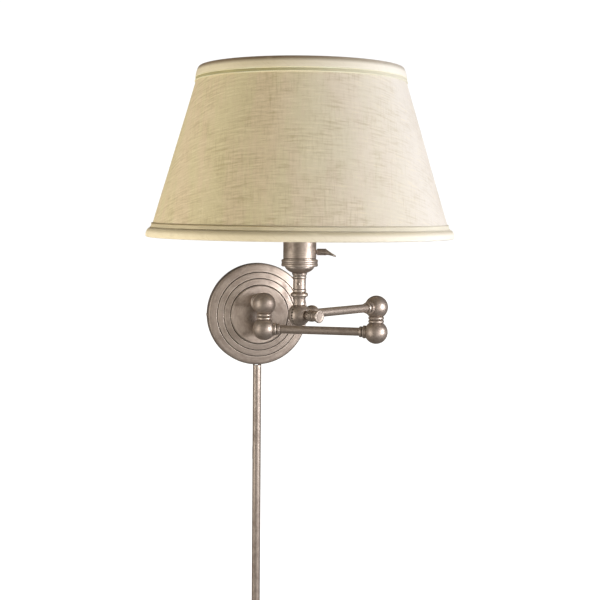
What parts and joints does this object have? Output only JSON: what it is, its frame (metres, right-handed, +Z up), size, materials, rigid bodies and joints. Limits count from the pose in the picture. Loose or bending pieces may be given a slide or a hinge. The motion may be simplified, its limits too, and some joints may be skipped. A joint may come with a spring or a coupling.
{
  "type": "swing arm wall sconce",
  "caption": "Wall lamp with a round stepped plate, a cord cover, two hinged arms on ball knuckles, a tilting head with clamp knob and turn-key socket, and a linen empire shade.",
  "frame": {"origin": "middle of the mounting strap's back face, on the wall surface behind the plate's centre", "axes": "+Z up, +Y into the wall, so the lamp stands out of the wall along -Y; +X is to the right for a viewer facing the wall"},
  "size_m": [0.3024, 0.3121, 0.6964],
  "materials": {
    "antique_nickel": "antique nickel plate, softly brushed, dark in the grooves",
    "zinc_steel": "bright zinc plate",
    "brass": "plain brass",
    "black_rubber": "matt",
    "phenolic": "moulded phenolic",
    "insulating_card": "fibre liner",
    "linen": "cream linen weave over a stiff liner",
    "trim_tape": "flat olive-gold trim tape",
    "white_wire": "white painted wire",
    "soft_white_glass": "inside frosted"
  },
  "bodies": {
    "wall_bracket": {"wall_strap": "zinc_steel", "backplate": "antique_nickel", "rim_screw_left": "antique_nickel", "rim_screw_right": "antique_nickel", "cord_grommet": "black_rubber", "plate_nipple": "zinc_steel", "nipple_nut": "zinc_steel", "wall_stub_collar": "antique_nickel", "wall_upper_ball": "antique_nickel", "wall_upper_ring": "antique_nickel", "wall_pivot_stem": "zinc_steel", "wall_pivot_clip": "zinc_steel", "cord_cover": "antique_nickel", "cover_clip_upper": "zinc_steel", "cover_clip_lower": "zinc_steel", "cover_end_bush": "black_rubber"},
    "lower_arm": {"wall_lower_ball": "antique_nickel", "wall_lower_ring": "antique_nickel", "lower_arm_wall_collar": "antique_nickel", "lower_arm_tube": "antique_nickel", "lower_arm_elbow_collar": "antique_nickel", "elbow_lower_ball": "antique_nickel", "elbow_lower_ring": "antique_nickel", "elbow_pivot_stem": "zinc_steel", "elbow_pivot_clip": "zinc_steel"},
    "upper_arm": {"elbow_upper_ball": "antique_nickel", "elbow_upper_ring": "antique_nickel", "upper_arm_elbow_collar": "antique_nickel", "upper_arm_tube": "antique_nickel", "upper_arm_knuckle_collar": "antique_nickel", "knuckle_rear_half": "antique_nickel"},
    "head": {"knuckle_front_half": "antique_nickel", "neck_lower_sleeve": "antique_nickel", "neck_bead": "antique_nickel", "neck_upper_sleeve": "antique_nickel", "neck_set_screw": "antique_nickel", "neck_nipple": "zinc_steel", "socket_cup": "antique_nickel", "socket_band": "antique_nickel", "socket_shell": "antique_nickel", "socket_liner": "insulating_card", "socket_core": "phenolic", "centre_contact": "brass", "screw_shell": "brass", "bulb_cap": "brass", "bulb_glass": "soft_white_glass", "shade_fitter": "white_wire", "shade_ring_nut": "antique_nickel", "shade_bottom_wire": "white_wire", "shade_top_wire": "white_wire", "shade_cloth": "linen", "shade_top_roll": "linen", "shade_top_tape": "trim_tape", "shade_bottom_tape": "trim_tape", "shade_bottom_roll": "linen"},
    "clamp_knob": {"tilt_knob": "antique_nickel", "tilt_screw": "zinc_steel"},
    "switch": {"switch_key": "antique_nickel", "switch_cam": "phenolic"}
  },
  "joints": [
    {"name": "wall_swing", "type": "hinge", "parent": "wall_bracket", "child": "lower_arm", "pos_m": [0, -0.038, 0], "axis": [0, 0, 1], "range_deg": [-138, 12]},
    {"name": "elbow_swing", "type": "hinge", "parent": "lower_arm", "child": "upper_arm", "pos_m": [0.11048, -0.0943, 0], "axis": [0, 0, 1], "range_deg": [-14.5, 240.5]},
    {"name": "head_tilt", "type": "hinge", "parent": "upper_arm", "child": "head", "pos_m": [0.0059, -0.16092, 0.0136], "axis": [0.5373, -0.8434, 0], "range_deg": [-20, 60]},
    {"name": "tilt_knob_turn", "type": "hinge", "parent": "head", "child": "clamp_knob", "pos_m": [0.0059, -0.16092, 0.0136], "axis": [0.5373, -0.8434, 0], "range_deg": [-20, 300]},
    {"name": "switch_key_turn", "type": "hinge", "parent": "head", "child": "switch", "pos_m": [0.0059, -0.16092, 0.0764], "axis": [0.9397, -0.342, 0], "continuous": true}
  ]
}
